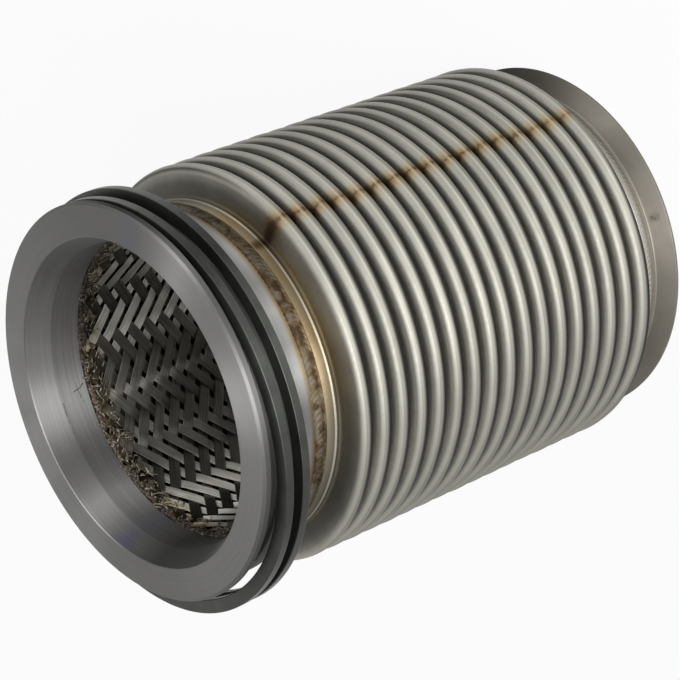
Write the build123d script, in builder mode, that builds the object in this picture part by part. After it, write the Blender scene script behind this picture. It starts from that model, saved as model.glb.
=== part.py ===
from build123d import *
from math import atan2, cos, degrees, radians, sin, tan
import os

os.makedirs("parts", exist_ok=True)

# The pipe stands on its rear flange: Z = 0 is the rear face, +Z runs to the adapter's mouth.
# Sizes are in millimetres and angles in degrees. Radii grow outwards from the liner, wall by wall.

# Braided liner: flat wires in a herringbone, on a thin wall
liner_outer_radius = 46.6
liner_wall = 1.2
wire_height = 0.6
wire_width = 3.1
row_pitch = 5.9
braid_periods = 16
braid_turn = 4.5
gap_rows = 7
gap_width = 1.9

# Beads that tie the liner's ends to the turned pieces
liner_bead_length = 1.4
liner_bead_height = 2.2
liner_bead_crown = 0.4

# Spigots of the turned pieces, under the bellows cuffs
recess_clearance = 0.9
recess_step = 1.0
spigot_wall = 3.25
spigot_overlap = 4.0
fit_clearance = 0.05

# Bellows: one formed wall with a plain cuff at each end
bellows_wall = 0.8
crest_count = 17
crest_pitch = 7.17
crest_height = 9.7
crest_bend = 1.85
front_cuff_length = 4.8
rear_cuff_length = 6.6

# Beads that close the joints between the cuffs and the turned pieces
weld_gap = 3.5
bead_crown = 0.5

# Adapter: mouth cone, bore, pilot land, seats for two rings, and neck
mouth_widening = 3.5
mouth_depth = 7.2
bore_length = 10.2
neck_step = 0.3
neck_length = 8.2
shoulder_length = 3.0
front_seat_rise = 3.9
front_seat_length = 5.8
rear_seat_rise = 1.36
rear_seat_length = 6.6
land_rise = 4.2
land_length = 2.6
land_chamfer = 0.7

# Seal rings: flat rings that hang loose on their seats and lean a little
front_ring_play = 2.76
front_ring_width = 4.22
front_ring_lean = (-0.56, 0.38)
front_ring_setback = 1.75
rear_ring_play = 1.98
rear_ring_width = 4.22
rear_ring_lean = (-0.2, 0.2)
ring_spacing = 3.1
ring_thickness = 2.7
ring_chamfer = 0.25
rest_clearance = 0.06

# Rear flange: a short hub with a conical clamping face
hub_step = 0.2
hub_length = 0.9
cone_width = 5.6
cone_height = 3.5
flange_rim = 0.7
flange_bore_chamfer = 0.8

# Radii, from the liner outwards
recess_radius = liner_outer_radius + recess_clearance
bore_radius = recess_radius - recess_step
mouth_radius = bore_radius + mouth_widening
spigot_radius = recess_radius + spigot_wall
cuff_inner_radius = spigot_radius + fit_clearance
cuff_radius = cuff_inner_radius + bellows_wall
crest_radius = cuff_radius + crest_height
neck_radius = cuff_radius + neck_step
front_seat_radius = neck_radius + front_seat_rise
rear_seat_radius = front_seat_radius + rear_seat_rise
land_radius = front_seat_radius + land_rise
hub_radius = cuff_radius - hub_step
flange_radius = hub_radius + cone_width

# Heights, from the rear face upwards
hub_top = flange_rim + cone_height + hub_length
rear_cuff_end = hub_top + weld_gap
half_pitch = crest_pitch / 2
last_crest = rear_cuff_end + rear_cuff_length + half_pitch
first_crest = last_crest + (crest_count - 1) * crest_pitch
front_cuff_end = first_crest + half_pitch + front_cuff_length
neck_end = front_cuff_end + weld_gap
shoulder_end = neck_end + neck_length
rear_seat_end = shoulder_end + shoulder_length
front_seat_end = rear_seat_end + rear_seat_length
land_end = front_seat_end + front_seat_length
total_length = land_end + land_length
bore_end = total_length - mouth_depth
recess_end = bore_end - bore_length

# Adapter ring, turned in one piece
spigot_end = front_cuff_end - spigot_overlap
with BuildPart() as adapter_ring:
    with BuildSketch(Plane.XZ) as adapter_section:
        with BuildLine():
            Polyline(
                (mouth_radius, total_length),
                (land_radius - land_chamfer, total_length),
                (land_radius, total_length - land_chamfer),
                (land_radius, land_end),
                (front_seat_radius, land_end),
                (front_seat_radius, front_seat_end),
                (rear_seat_radius, front_seat_end),
                (rear_seat_radius, rear_seat_end),
                (neck_radius, shoulder_end),
                (neck_radius, neck_end),
                (spigot_radius, neck_end),
                (spigot_radius, spigot_end),
                (recess_radius, spigot_end),
                (recess_radius, recess_end),
                (bore_radius, recess_end),
                (bore_radius, bore_end),
                close=True,
            )
        make_face()
    revolve(axis=Axis.Z)
adapter_ring.part.label = "adapter_ring"
export_step(adapter_ring.part, "parts/adapter_ring.step")


def hanging_ring(seat_radius, play, width, front_height, lean):
    """A flat ring that hangs off centre, so that its inner edge rests on the seat at +X."""
    inner_radius = seat_radius + play
    droop = play - rest_clearance
    up = Vector(0, 0, 1).rotate(Axis.Y, lean[0]).rotate(Axis.X, -lean[1])
    face = Plane(origin=(-droop, 0, front_height), z_dir=up)
    with BuildPart() as ring:
        with BuildSketch(face):
            Circle(inner_radius + width)
            Circle(inner_radius, mode=Mode.SUBTRACT)
        extrude(amount=-ring_thickness)
        chamfer(ring.edges().filter_by(GeomType.CIRCLE), length=ring_chamfer)
    return ring


# Two loose seal rings
front_ring_face = land_end - front_ring_setback
seal_ring_front = hanging_ring(
    front_seat_radius, front_ring_play, front_ring_width, front_ring_face, front_ring_lean
)
seal_ring_front.part.label = "seal_ring_front"
export_step(seal_ring_front.part, "parts/seal_ring_front.step")

rear_ring_face = front_ring_face - ring_thickness - ring_spacing
seal_ring_rear = hanging_ring(
    rear_seat_radius, rear_ring_play, rear_ring_width, rear_ring_face, rear_ring_lean
)
seal_ring_rear.part.label = "seal_ring_rear"
export_step(seal_ring_rear.part, "parts/seal_ring_rear.step")

# Bellows: each side of the wall is a chain of crest bends, flanks and root bends.
# Both sides share the same bend centres, so the wall keeps its thickness.
crest_centre = crest_radius - bellows_wall - crest_bend
root_bend = half_pitch - crest_bend - bellows_wall
root_centre = cuff_radius + root_bend


def wall_side(crest_arc, root_arc):
    """Draw one side of the bellows wall, from the front cuff's end to the rear cuff's end."""
    cuff = root_centre - root_arc
    Line((cuff, front_cuff_end), (cuff, first_crest + half_pitch))
    CenterArc((root_centre, first_crest + half_pitch), root_arc, 180, 90)
    for crest in range(crest_count):
        height = first_crest - crest * crest_pitch
        Line((root_centre, height + crest_arc), (crest_centre, height + crest_arc))
        CenterArc((crest_centre, height), crest_arc, -90, 180)
        Line((crest_centre, height - crest_arc), (root_centre, height - crest_arc))
        if crest < crest_count - 1:
            CenterArc((root_centre, height - half_pitch), root_arc, 90, 180)
    CenterArc((root_centre, last_crest - half_pitch), root_arc, 90, 90)
    Line((cuff, last_crest - half_pitch), (cuff, rear_cuff_end))


with BuildPart() as bellows:
    with BuildSketch(Plane.XZ) as bellows_section:
        with BuildLine():
            wall_side(crest_bend + bellows_wall, root_bend)
            wall_side(crest_bend, root_bend + bellows_wall)
            Line((cuff_radius, front_cuff_end), (cuff_inner_radius, front_cuff_end))
            Line((cuff_radius, rear_cuff_end), (cuff_inner_radius, rear_cuff_end))
        make_face()
    revolve(axis=Axis.Z)
bellows.part.label = "bellows"
export_step(bellows.part, "parts/bellows.step")


def crowned_bead(low, high, held_radius, free_radius, crown):
    """A bead round the axis with flat ends. A positive crown bulges outwards, a negative one inwards."""
    middle = (free_radius + crown, (low + high) / 2)
    with BuildPart() as bead:
        with BuildSketch(Plane.XZ):
            with BuildLine():
                Polyline((free_radius, low), (held_radius, low), (held_radius, high), (free_radius, high))
                ThreePointArc((free_radius, high), middle, (free_radius, low))
            make_face()
        revolve(axis=Axis.Z)
    return bead


# Beads that close the joints between the cuffs and the turned pieces
weld_bead_front = crowned_bead(front_cuff_end, neck_end, spigot_radius, cuff_radius, bead_crown)
weld_bead_front.part.label = "weld_bead_front"
export_step(weld_bead_front.part, "parts/weld_bead_front.step")

weld_bead_rear = crowned_bead(hub_top, rear_cuff_end, spigot_radius, hub_radius, bead_crown)
weld_bead_rear.part.label = "weld_bead_rear"
export_step(weld_bead_rear.part, "parts/weld_bead_rear.step")

# Rear flange: flat face, thin rim, clamping cone, hub and spigot
flange_spigot_end = rear_cuff_end + spigot_overlap
with BuildPart() as rear_flange:
    with BuildSketch(Plane.XZ) as flange_section:
        with BuildLine():
            Polyline(
                (bore_radius + flange_bore_chamfer, 0),
                (flange_radius, 0),
                (flange_radius, flange_rim),
                (hub_radius, flange_rim + cone_height),
                (hub_radius, hub_top),
                (spigot_radius, hub_top),
                (spigot_radius, flange_spigot_end),
                (bore_radius, flange_spigot_end),
                (bore_radius, flange_bore_chamfer),
                close=True,
            )
        make_face()
    revolve(axis=Axis.Z)
rear_flange.part.label = "rear_flange"
export_step(rear_flange.part, "parts/rear_flange.step")

# Beads at the liner's two ends: in the adapter's recess, and on the flange's spigot
liner_bottom = flange_spigot_end + liner_bead_length
liner_top = recess_end - liner_bead_length
bead_inner_radius = recess_radius - liner_bead_height

liner_weld_front = crowned_bead(
    liner_top, recess_end, recess_radius, bead_inner_radius, -liner_bead_crown
)
liner_weld_front.part.label = "liner_weld_front"
export_step(liner_weld_front.part, "parts/liner_weld_front.step")

liner_weld_rear = crowned_bead(
    flange_spigot_end, liner_bottom, recess_radius, bead_inner_radius, -liner_bead_crown
)
liner_weld_rear.part.label = "liner_weld_rear"
export_step(liner_weld_rear.part, "parts/liner_weld_rear.step")

# Braided liner: the flat wires are ridges on the wall, with a groove between each two.
# A column of wires that rise stands beside its mirror image, and the pair repeats round the axis.
liner_length = liner_top - liner_bottom
liner_middle = (liner_top + liner_bottom) / 2
wall_radius = liner_outer_radius - liner_wall
period_angle = 360 / braid_periods
column_angle = period_angle / 2
column_width = 2 * wall_radius * tan(radians(column_angle / 2))
wire_angle = degrees(atan2(row_pitch, column_width))
wire_pitch = row_pitch * cos(radians(wire_angle))
groove_width = wire_pitch - wire_width
row_count = int(liner_length / row_pitch) + 3

outward = Vector(1, 0, 0).rotate(Axis.Z, column_angle / 2)
tangent = Vector(0, 0, 1).cross(outward)
along_wire = tangent * cos(radians(wire_angle)) + Vector(0, 0, sin(radians(wire_angle)))
across_wire = outward.cross(along_wire)
column_centre = outward * wall_radius + Vector(0, 0, liner_middle)
wire_section = Plane(origin=column_centre, x_dir=across_wire, z_dir=along_wire)

with BuildPart() as rising_column:
    with BuildSketch(Plane.XY.offset(liner_bottom)):
        Circle(liner_outer_radius)
        with BuildLine():
            reach = Vector(2 * liner_outer_radius, 0)
            Polyline((0, 0), reach, reach.rotate(Axis.Z, column_angle), close=True)
        make_face(mode=Mode.INTERSECT)
    extrude(amount=liner_length)
    with BuildSketch(wire_section):
        with Locations((0, liner_wall - wire_height / 2)):
            Rectangle(row_count * wire_pitch, 2 * liner_wall + wire_height)
        with GridLocations(wire_pitch, 1, row_count, 1):
            left, right, rim = -groove_width, groove_width, -2 * wire_height
            Polygon((left, rim), (right, rim), (0, 0), align=None, mode=Mode.SUBTRACT)
    extrude(amount=liner_length, both=True, mode=Mode.INTERSECT)

# Gaps through the wall stand where the grooves of two columns meet
gap_pitch = row_pitch * (int(liner_length / row_pitch) // gap_rows)
column_border = Vector(1, 0, 0).rotate(Axis.Z, column_angle)
border_normal = column_border.cross(Vector(0, 0, 1))
border_centre = column_border * liner_outer_radius + Vector(0, 0, liner_middle)
with BuildPart() as liner_sector:
    add(rising_column.part)
    mirror(about=Plane(origin=(0, 0, 0), x_dir=(0, 0, 1), z_dir=border_normal))
    with BuildSketch(Plane(origin=border_centre, x_dir=(0, 0, 1), z_dir=column_border)):
        with Locations((row_pitch / 2, 0)):
            with GridLocations(gap_pitch, 1, gap_rows, 1):
                RegularPolygon(gap_width / 2, 4)
    extrude(amount=2 * (liner_wall + wire_height), both=True, mode=Mode.SUBTRACT)

with BuildPart() as braided_liner:
    with PolarLocations(0, braid_periods, start_angle=braid_turn):
        add(liner_sector.part)
braided_liner.part.label = "braided_liner"
export_step(braided_liner.part, "parts/braided_liner.step")
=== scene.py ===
import math

import bpy
import numpy as np
from mathutils import Matrix, Vector


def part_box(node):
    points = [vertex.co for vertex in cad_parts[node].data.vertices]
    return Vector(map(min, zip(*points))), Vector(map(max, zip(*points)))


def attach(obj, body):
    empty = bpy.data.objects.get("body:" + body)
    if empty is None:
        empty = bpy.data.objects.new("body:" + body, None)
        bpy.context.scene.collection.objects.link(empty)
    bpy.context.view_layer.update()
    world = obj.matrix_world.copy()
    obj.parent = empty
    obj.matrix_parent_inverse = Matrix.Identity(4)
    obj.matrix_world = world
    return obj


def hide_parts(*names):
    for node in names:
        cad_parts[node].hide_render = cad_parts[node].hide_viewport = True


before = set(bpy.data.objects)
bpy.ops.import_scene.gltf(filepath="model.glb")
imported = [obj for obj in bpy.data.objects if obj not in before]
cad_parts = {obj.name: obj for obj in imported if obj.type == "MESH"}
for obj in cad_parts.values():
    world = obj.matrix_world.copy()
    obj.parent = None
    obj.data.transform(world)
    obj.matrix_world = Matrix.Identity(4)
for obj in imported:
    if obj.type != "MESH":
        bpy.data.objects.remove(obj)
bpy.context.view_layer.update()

mm = 0.001
body = "root"
randomDraw = np.random.default_rng(17)
print("frame loaded")


# Mesh helpers: sizes are in millimetres until a piece's points are done

def putGrid(name, points):
    # points[u, v] holds a place in metres; the quad at (u, v) joins its next neighbours, which wrap round
    countU, countV = points.shape[:2]
    u, v = np.meshgrid(np.arange(countU), np.arange(countV), indexing="ij")
    nextU, nextV = (u + 1) % countU, (v + 1) % countV
    corners = [u * countV + v, nextU * countV + v, nextU * countV + nextV, u * countV + nextV]
    return putMesh(name, points.reshape(-1, 3), np.stack(corners, axis=-1).reshape(-1, 4))


def addObject(name, data):
    piece = bpy.data.objects.new(name, data)
    bpy.context.scene.collection.objects.link(piece)
    return piece


def putMesh(name, places, quads):
    mesh = bpy.data.meshes.new(name)
    mesh.vertices.add(len(places))
    mesh.vertices.foreach_set("co", np.ascontiguousarray(places, dtype=np.float32).ravel())
    mesh.loops.add(quads.size)
    mesh.loops.foreach_set("vertex_index", np.ascontiguousarray(quads, dtype=np.int32).ravel())
    mesh.polygons.add(len(quads))
    mesh.polygons.foreach_set("loop_start", np.arange(0, quads.size, quads.shape[1], dtype=np.int32))
    mesh.polygons.foreach_set("use_smooth", np.ones(len(quads), dtype=bool))
    mesh.update(calc_edges=True)
    return addObject(name, mesh)


def fullTurn(segments):
    return np.linspace(0, 2 * np.pi, segments, endpoint=False)[:, None]


def aroundAxis(radius, angle, height):
    # place = (r cos a, r sin a, z)
    return np.stack([radius * np.cos(angle), radius * np.sin(angle), height], axis=-1)


def softCorners(corners, bevel):
    # Each corner C becomes a quadratic arc (1-t)^2 A + 2t(1-t) C + t^2 B, with A and B one bevel from C, and
    # one more point 1.5 bevels from C on each side, which keeps the flats flat under smooth shading
    corner = np.array(corners, dtype=float)
    back, ahead = np.roll(corner, 1, axis=0) - corner, np.roll(corner, -1, axis=0) - corner
    back = bevel * back / np.linalg.norm(back, axis=1, keepdims=True)
    ahead = bevel * ahead / np.linalg.norm(ahead, axis=1, keepdims=True)
    t = np.linspace(0, 1, 5)[None, :, None]
    a, b = (corner + back)[:, None], (corner + ahead)[:, None]
    arc = (1 - t) ** 2 * a + 2 * t * (1 - t) * corner[:, None] + t ** 2 * b
    before, after = (corner + 1.5 * back)[:, None], (corner + 1.5 * ahead)[:, None]
    return np.concatenate([before, arc, after], axis=1).reshape(-1, 2)


def turnProfile(profile, segments, wobble=None):
    # The profile's (r, z) turned about Z, a from 0 to 360; wobble(a) adds to r
    angle = fullTurn(segments)
    radius = np.broadcast_to(profile[None, :, 0], (segments, len(profile)))
    height = np.broadcast_to(profile[None, :, 1], (segments, len(profile)))
    if wobble is not None:
        radius = radius + wobble(angle)
    return aroundAxis(radius, angle, height) * mm


def place(piece, node, material):
    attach(piece, body)
    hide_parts(node)
    piece.data.materials.clear()
    piece.data.materials.append(material)
    return piece


# Node helpers

def addNode(tree, kind, settings=None, **inputs):
    # An input is given by its name, or as i0, i1 and so on by its number; a socket is linked, a value is set
    node = tree.nodes.new(kind)
    for key, value in (settings or {}).items():
        setattr(node, key, value)
    for key, value in inputs.items():
        socket = node.inputs[int(key[1:])] if key[0] == "i" and key[1:].isdigit() else node.inputs[key]
        if isinstance(value, bpy.types.NodeSocket):
            tree.links.new(value, socket)
        else:
            socket.default_value = value
    return node


def calc(tree, operation, a, b=0.0, c=0.0):
    return addNode(tree, "ShaderNodeMath", {"operation": operation}, i0=a, i1=b, i2=c).outputs[0]


def times(tree, *factors):
    product = factors[0]
    for factor in factors[1:]:
        product = calc(tree, "MULTIPLY", product, factor)
    return product


def scaleAdd(tree, value, scale, offset):
    return calc(tree, "MULTIPLY_ADD", value, scale, offset)


def mixedTone(tree, base, *parts):
    # base and, on top, each mask times its share
    for mask, share in parts:
        base = scaleAdd(tree, mask, share, base)
    return base


def fade(tree, value, low, high, start=0.0, end=1.0):
    # start below low, end above high, and an S-shaped passage between them
    return addNode(tree, "ShaderNodeMapRange", {"interpolation_type": "SMOOTHSTEP"},
                   Value=value, i1=low, i2=high, i3=start, i4=end).outputs[0]


def bandMask(tree, value, low, high, soft):
    # 1 between low and high, fading over soft on each side
    return times(tree, fade(tree, value, low - soft, low + soft),
                 fade(tree, value, high - soft, high + soft, 1.0, 0.0))


def chooseTone(tree, mask, first, second):
    return scaleAdd(tree, mask, calc(tree, "SUBTRACT", second, first), first)


def blendColour(tree, mask, first, second, mode="MIX"):
    node = addNode(tree, "ShaderNodeMix", {"data_type": "RGBA", "blend_type": mode},
                   i0=mask, i6=first, i7=second)
    return node.outputs[2]


def dyed(tree, colour, dye):
    return blendColour(tree, 1.0, colour, dye, "MULTIPLY")


def shaded(tree, colour, tone):
    return dyed(tree, colour, addNode(tree, "ShaderNodeCombineColor", i0=tone, i1=tone, i2=tone).outputs[0])


def ramp(tree, value, stops):
    node = addNode(tree, "ShaderNodeValToRGB", i0=value)
    while len(node.color_ramp.elements) < len(stops):
        node.color_ramp.elements.new(0.5)
    for element, (at, colour) in zip(node.color_ramp.elements, stops):
        element.position = at
        element.color = (*colour, 1)
    return node.outputs[0]


def tonesRound(tree, angle, stops):
    # A factor that changes with the angle round the axis, from (degrees, factor) pairs; the two ends meet
    meet = (stops[0][1] + stops[-1][1]) / 2
    most = max(tone for at, tone in stops)
    share = addNode(tree, "ShaderNodeMapRange", Value=angle, i1=-180.0, i2=180.0, i3=0.0, i4=1.0).outputs[0]
    stops = [((at + 180) / 360, (tone / most,) * 3) for at, tone in [(-180, meet), *stops, (180, meet)]]
    return times(tree, ramp(tree, share, stops), most)


def tonesOf(tree, angle, size):
    # The tones that a piece's dictionary holds under a key
    return lambda key: tonesRound(tree, angle, size[key])


def objectPlace(tree):
    return addNode(tree, "ShaderNodeTexCoord").outputs["Object"]


def splitPlace(tree, vector):
    return addNode(tree, "ShaderNodeSeparateXYZ", i0=vector).outputs


def joinPlace(tree, x, y, z=0.0):
    return addNode(tree, "ShaderNodeCombineXYZ", i0=x, i1=y, i2=z).outputs[0]


def vectorMath(tree, operation, **inputs):
    return addNode(tree, "ShaderNodeVectorMath", {"operation": operation}, **inputs).outputs


def noise(tree, vector, scale, detail, roughness):
    return addNode(tree, "ShaderNodeTexNoise", Vector=vector, Scale=scale, Detail=detail,
                   Roughness=roughness).outputs[0]


# Node groups that several materials share

floatSocket, colourSocket = "NodeSocketFloat", "NodeSocketColor"


def newGroup(name, inputs, outputs, kind=floatSocket):
    group = bpy.data.node_groups.new(name, "ShaderNodeTree")
    for label, value in inputs.items():
        colour = isinstance(value, tuple)
        socket = group.interface.new_socket(label, in_out="INPUT",
                                            socket_type=colourSocket if colour else floatSocket)
        socket.default_value = value
    for label in outputs:
        group.interface.new_socket(label, in_out="OUTPUT", socket_type=kind)
    return group, group.nodes.new("NodeGroupInput").outputs, group.nodes.new("NodeGroupOutput").inputs


def useGroup(tree, group, **inputs):
    return addNode(tree, "ShaderNodeGroup", {"node_tree": group}, **inputs).outputs


def makePolarPlace():
    # Object coordinates to millimetres round the axis: Angle in degrees, Radius, Height
    group, _, out = newGroup("polarPlace", {}, ("Angle", "Radius", "Height"))
    x, y, z = splitPlace(group, objectPlace(group))
    angle = calc(group, "DEGREES", calc(group, "ARCTAN2", y, x))
    radius = calc(group, "SQRT", calc(group, "ADD", times(group, x, x), times(group, y, y)))
    group.links.new(angle, out["Angle"])
    group.links.new(times(group, radius, 1 / mm), out["Radius"])
    group.links.new(times(group, z, 1 / mm), out["Height"])
    return group


def makeTurningLines():
    # Tool marks that run round the axis: noise drawn out along the turn, fine and coarse together
    group, given, out = newGroup("turningLines", {"Fineness": 6.0, "Spread": 0.5}, ("Lines", "Streaks"))
    x, y, z = splitPlace(group, objectPlace(group))
    flat = joinPlace(group, x, y)
    radius = vectorMath(group, "LENGTH", i0=flat)["Value"]
    turn = splitPlace(group, vectorMath(group, "NORMALIZE", i0=flat)[0])
    along = calc(group, "ADD", times(group, radius, 1 / mm), times(group, z, 1 / mm))
    spread = given["Spread"]
    stretched = joinPlace(group, times(group, turn[0], spread), times(group, turn[1], spread),
                          times(group, along, given["Fineness"]))
    group.links.new(noise(group, stretched, 1.0, 3.0, 0.7), out["Lines"])
    group.links.new(noise(group, stretched, 0.22, 2.0, 0.5), out["Streaks"])
    return group


def makeCloudiness():
    # Uneven handling marks: a soft cloud mask of about Size millimetres and a speckle mask
    group, given, out = newGroup("cloudiness", {"Size": 12.0}, ("Cloud", "Speckle"))
    scale = calc(group, "DIVIDE", 1 / mm, given["Size"])
    group.links.new(noise(group, objectPlace(group), scale, 4.0, 0.55), out["Cloud"])
    group.links.new(noise(group, objectPlace(group), times(group, scale, 14.0), 2.0, 0.6), out["Speckle"])
    return group


def makeHeatTint():
    # Oxide colours of heated stainless steel: Heat 0 is bare, then straw, gold, brown and dark brown
    inputs = {"Bare": (0.5, 0.5, 0.5, 1), "Heat": 0.0}
    group, given, out = newGroup("heatTint", inputs, ("Colour",), colourSocket)
    oxide = ramp(group, given["Heat"], [(0.0, (1.0, 1.0, 1.0)), (0.3, (0.96, 0.84, 0.64)),
                                        (0.55, (0.74, 0.55, 0.34)), (0.78, (0.38, 0.27, 0.18)),
                                        (1.0, (0.20, 0.155, 0.12))])
    group.links.new(dyed(group, given["Bare"], oxide), out["Colour"])
    return group


polarPlace = makePolarPlace()
turningLines = makeTurningLines()
cloudiness = makeCloudiness()
heatTint = makeHeatTint()


# Material helpers

def newMaterial(name, **plain):
    material = bpy.data.materials.new(name)
    material.use_nodes = True
    shader = material.node_tree.nodes["Principled BSDF"]
    for label, value in plain.items():
        shader.inputs[label.replace("_", " ")].default_value = value
    return material, material.node_tree, shader.inputs


def newTurnedMetal(name, stretch):
    # The tangent runs along the turn, and with a quarter's rotation highlights stretch across the tool marks
    material, tree, shader = newMaterial(name, Metallic=1.0, Anisotropic=stretch, Anisotropic_Rotation=0.25)
    tangent = addNode(tree, "ShaderNodeTangent", {"direction_type": "RADIAL", "axis": "Z"})
    tree.links.new(tangent.outputs[0], shader["Tangent"])
    return material, tree, shader


def finishSurface(tree, shader, colour, size, grain, relief=None):
    # "roughness" is a middle value and its swing with the grain, "bump" a strength and a depth in millimetres
    (middle, swing), (strength, depth) = size["roughness"], size["bump"]
    bump = addNode(tree, "ShaderNodeBump", Strength=strength, Distance=depth * mm, Height=relief or grain)
    tree.links.new(colour, shader["Base Color"])
    tree.links.new(scaleAdd(tree, grain, swing, middle - swing / 2), shader["Roughness"])
    tree.links.new(bump.outputs[0], shader["Normal"])


print("shared node groups made")


# Heights in millimetres that the pieces share, from the frame

def heights(node):
    low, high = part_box(node)
    return low[2] / mm, high[2] / mm


adapterLow, adapterHigh = heights("adapter_ring")
bellowsLow, bellowsHigh = heights("bellows")
flangeLow, flangeHigh = heights("rear_flange")
linerHigh = heights("braided_liner")[1]
frontBeadLow, frontBeadHigh = heights("weld_bead_front")
rearBeadLow, rearBeadHigh = heights("weld_bead_rear")

spigotRadius = 50.75
recessRadius = 47.5
boreRadius = 46.5


# Adapter ring

adapter = {
    "mouthRadius": 50.0, "mouthDepth": 7.2, "boreLength": 10.2,
    "landRadius": 60.0, "landLength": 2.6, "landChamfer": 0.7,
    "frontSeatRadius": 55.8, "frontSeatLength": 5.8, "rearSeatRadius": 57.16, "rearSeatLength": 6.6,
    "shoulderLength": 3.0, "neckRadius": 51.9, "segments": 256, "bevel": 0.22,
    "steel": (0.19, 0.188, 0.183, 1), "roughness": (0.56, 0.16), "bump": (0.35, 0.03), "stretch": 0.92,
    "insideGrain": 0.7, "behindLinerShade": 0.12,
    "violet": (0.90, 0.84, 1.22, 1), "violetInside": (136, 141), "violetFace": (-40, -35),
    "violetBoreShare": 0.45, "violetFaceShare": 0.4,
    # Tones of painted light and shade round the axis, zone by zone
    "edgeTones": [(-140, 0.75), (-122, 1.1), (-95, 1.5), (-75, 1.15), (-60, 1.55), (-42, 1.0), (-20, 0.6)],
    "mouthEdgeTones": [(60, 1.0), (90, 2.0), (112, 2.5), (130, 2.3), (142, 1.2), (155, 1.0)],
    "insideTones": [(-177, 0.3), (-165, 0.5), (-150, 0.55), (-35, 0.6), (-20, 0.42), (-5, 0.6), (10, 0.65),
                    (24, 0.72), (42, 1.1), (58, 1.45), (70, 1.1), (82, 1.05), (94, 1.0), (102, 1.0),
                    (118, 1.45), (134, 0.9), (146, 0.65), (157, 0.34), (176, 0.33)],
    "faceTones": [(-170, 1.05), (-125, 1.1), (-100, 1.02), (-84, 0.98), (-60, 1.15), (-40, 0.8), (-10, 0.8),
                  (30, 1.0), (55, 1.1), (70, 0.85), (80, 0.62), (90, 0.85), (100, 1.08), (110, 0.95),
                  (122, 0.85), (140, 0.88), (165, 0.92)],
    "outsideTones": [(-170, 0.45), (-150, 0.52), (-120, 0.82), (-85, 0.95), (-60, 0.82), (-42, 0.4),
                     (-30, 0.09), (0, 0.2)],
    "neckTones": [(-150, 1.0), (-125, 1.8), (-112, 1.25), (-101, 2.0), (-91, 1.65), (-80, 3.1), (-70, 2.0),
                  (-62, 2.1), (-45, 1.45), (-25, 0.9)],
}


def makeAdapterSteel(size):
    material, tree, shader = newTurnedMetal("adapterSteel", size["stretch"])
    angle, radius, height = useGroup(tree, polarPlace)
    lines, streaks = useGroup(tree, turningLines, Fineness=5.0, Spread=1.2)
    cloud = useGroup(tree, cloudiness, Size=18.0)["Cloud"]
    tones = tonesOf(tree, angle, size)
    mouth, neckSide, top = size["mouthRadius"], size["neckRadius"], adapterHigh
    land, chamfer = size["landRadius"], size["landChamfer"]

    # Painted light and shade round the axis, with tones of their own in each zone: outside, neck, face,
    # the land's edge, inside and the mouth's edge, brightest as painted highlights on the neck and the edges
    inside = fade(tree, radius, mouth - 0.18, mouth - 0.02, 1.0, 0.0)
    face = fade(tree, height, top - 0.4, top - 0.2)
    neck = fade(tree, radius, neckSide + 0.1, neckSide + 1.5, 1.0, 0.0)
    edge = times(tree, fade(tree, radius, land - chamfer - 0.15, land - chamfer),
                 fade(tree, height, top - chamfer - 0.15, top - chamfer))
    rim = times(tree, bandMask(tree, radius, mouth - 0.25, mouth + 0.12, 0.08),
                fade(tree, height, top - 0.4, top - 0.25))
    paintedShading = tones("outsideTones")
    for mask, key in ((neck, "neckTones"), (face, "faceTones"), (edge, "edgeTones"), (inside, "insideTones"),
                      (rim, "mouthEdgeTones")):
        paintedShading = chooseTone(tree, mask, paintedShading, tones(key))

    tone = mixedTone(tree, 0.62, (lines, 0.5), (streaks, 0.16), (cloud, 0.16))
    grain = times(tree, inside, scaleAdd(tree, lines, size["insideGrain"], -size["insideGrain"] / 2))
    # Painted shade in the recess behind the liner
    recess = times(tree, bandMask(tree, radius, recessRadius - 0.4, recessRadius + 0.6, 0.15),
                   fade(tree, height, linerHigh - 0.6, linerHigh + 0.6, 1.0, 0.0))
    behind = chooseTone(tree, recess, 1.0, size["behindLinerShade"])
    colour = shaded(tree, size["steel"], times(tree, calc(tree, "ADD", tone, grain), paintedShading, behind))

    # Faint violet reflections on the cone, less in the bore, and on the face
    violetInside = times(tree, inside, bandMask(tree, angle, *size["violetInside"], 4.0),
                         fade(tree, radius, boreRadius + 0.3, boreRadius + 1.0, size["violetBoreShare"], 1.0))
    violetFace = times(tree, face, bandMask(tree, angle, *size["violetFace"], 5.0), size["violetFaceShare"])
    violet = calc(tree, "MAXIMUM", violetInside, violetFace)
    colour = blendColour(tree, violet, colour, dyed(tree, colour, size["violet"]))

    # Heat tint on the neck beside the weld bead
    beside = fade(tree, height, frontBeadHigh + 0.6, frontBeadHigh + 2.6, 1.0, 0.0)
    outside = fade(tree, radius, spigotRadius - 1.75, spigotRadius - 0.75)
    heat = times(tree, beside, neck, outside, scaleAdd(tree, cloud, 0.7, 0.25))
    colour = useGroup(tree, heatTint, Bare=colour, Heat=heat)["Colour"]
    finishSurface(tree, shader, colour, size, lines)
    return material


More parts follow.
